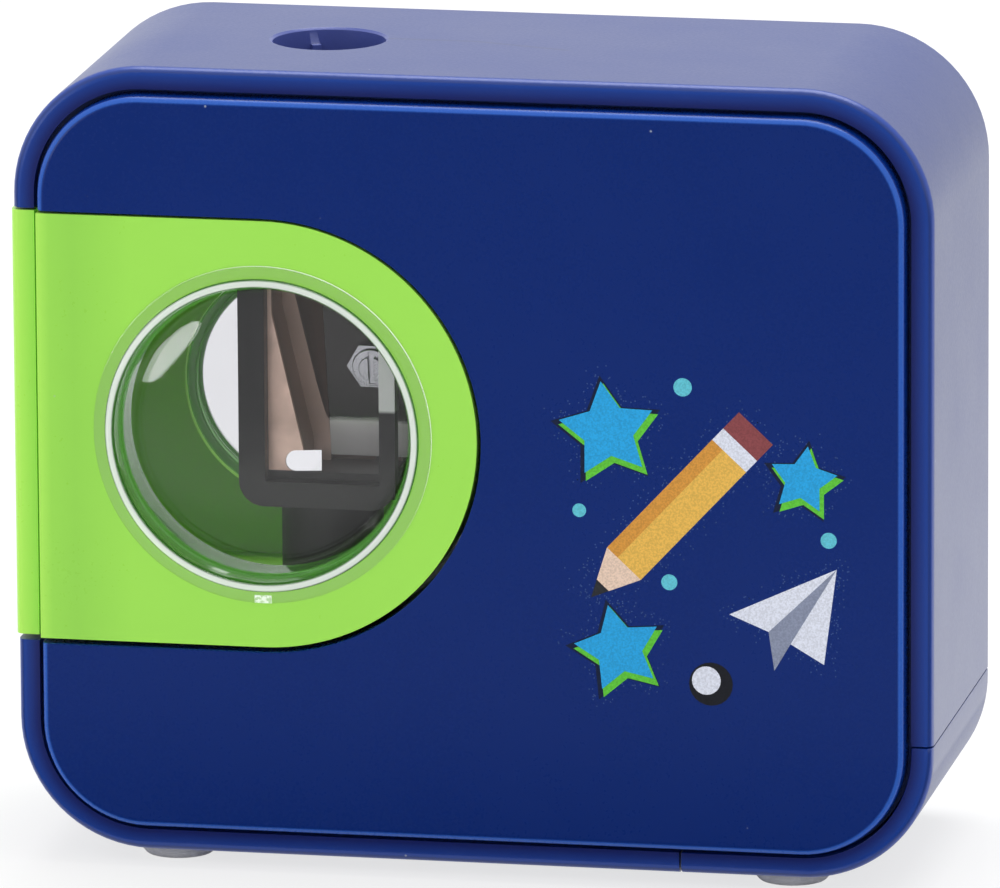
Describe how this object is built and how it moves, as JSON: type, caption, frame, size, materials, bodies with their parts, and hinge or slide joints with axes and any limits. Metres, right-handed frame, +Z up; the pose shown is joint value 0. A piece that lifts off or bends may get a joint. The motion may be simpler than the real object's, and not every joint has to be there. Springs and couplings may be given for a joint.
{
  "type": "battery pencil sharpener",
  "caption": "Battery-driven box pencil sharpener with a top pencil hole, a spinning cutter head behind round windows, a slide-out shavings bin and a sliding battery door.",
  "frame": {"origin": "centre of the bounding box at the level of the feet undersides", "axes": "+Z up, +X to the battery door side, -Y to the viewed front with the printed panel, -X the way the shavings bin pulls out"},
  "size_m": [0.0802, 0.034, 0.0702],
  "materials": {
    "blue_case": "gloss",
    "blue_panel": "gloss",
    "green_bin": "gloss",
    "clear_window": "gloss",
    "dark_plastic": "satin",
    "bush_plastic": "satin",
    "white_gear": "satin",
    "block_metal": "satin",
    "blade_steel": "polished",
    "screw_steel": "polished",
    "motor_steel": "satin",
    "motor_cap": "satin",
    "contact_metal": "satin",
    "spring_steel": "satin",
    "cell_jacket": "satin",
    "foot_rubber": "matte",
    "pinion_brass": "satin"
  },
  "bodies": {
    "case": {"case_band": "blue_case", "front_cover": "blue_panel", "rear_cover": "blue_panel", "case_screws": "screw_steel", "left_feet": "foot_rubber", "chamber_frame": "dark_plastic", "gear_plate": "dark_plastic", "plate_screws": "screw_steel", "pencil_bush": "bush_plastic", "idler_pin": "screw_steel", "motor_can": "motor_steel", "motor_endcap": "motor_cap", "motor_terminals": "contact_metal", "battery_frame": "dark_plastic", "front_cell": "cell_jacket", "rear_cell": "cell_jacket", "plus_terminal": "contact_metal", "minus_terminal": "contact_metal", "minus_spring": "spring_steel", "upper_leaf": "contact_metal", "lower_leaf": "contact_metal", "press_spring": "spring_steel"},
    "bin": {"bin_shell": "green_bin", "front_window": "clear_window", "rear_window": "clear_window"},
    "plunger": {"thrust_pin": "screw_steel"},
    "cutter": {"cutter_cradle": "dark_plastic", "sharpener_block": "block_metal", "blade": "blade_steel", "blade_screw": "screw_steel", "output_gear": "white_gear"},
    "rotor": {"motor_shaft": "screw_steel", "motor_pinion": "pinion_brass"},
    "idler": {"idler_gear": "white_gear"},
    "door": {"battery_door": "blue_case", "right_feet": "foot_rubber", "contact_bridge": "contact_metal", "bridge_spring": "spring_steel"}
  },
  "joints": [
    {"name": "bin_slide", "type": "slide", "parent": "case", "child": "bin", "axis": [-1, 0, 0], "range_m": [0, 0.042]},
    {"name": "pencil_press", "type": "slide", "parent": "case", "child": "plunger", "axis": [0, 0, -1], "range_m": [0, 0.001], "stiffness_N_per_m": 1500, "springref_m": -0.0005, "deforming": ["press_spring"]},
    {"name": "cutter_spin", "type": "hinge", "parent": "plunger", "child": "cutter", "pos_m": [-0.0153, 0, 0.03], "axis": [0, 0, 1], "continuous": true},
    {"name": "idler_spin", "type": "hinge", "parent": "case", "child": "idler", "pos_m": [-0.00205, 0, 0.012], "axis": [0, 0, 1], "continuous": true},
    {"name": "motor_spin", "type": "hinge", "parent": "case", "child": "rotor", "pos_m": [0.01045, 0, 0.015], "axis": [0, 0, 1], "continuous": true},
    {"name": "door_slide", "type": "slide", "parent": "case", "child": "door", "axis": [1, 0, 0], "range_m": [0, 0.024]}
  ],
  "couplings": [
    {"joint": "idler_spin", "follows": "cutter_spin", "ratio": -3.4167},
    {"joint": "motor_spin", "follows": "cutter_spin", "ratio": 13.667}
  ]
}
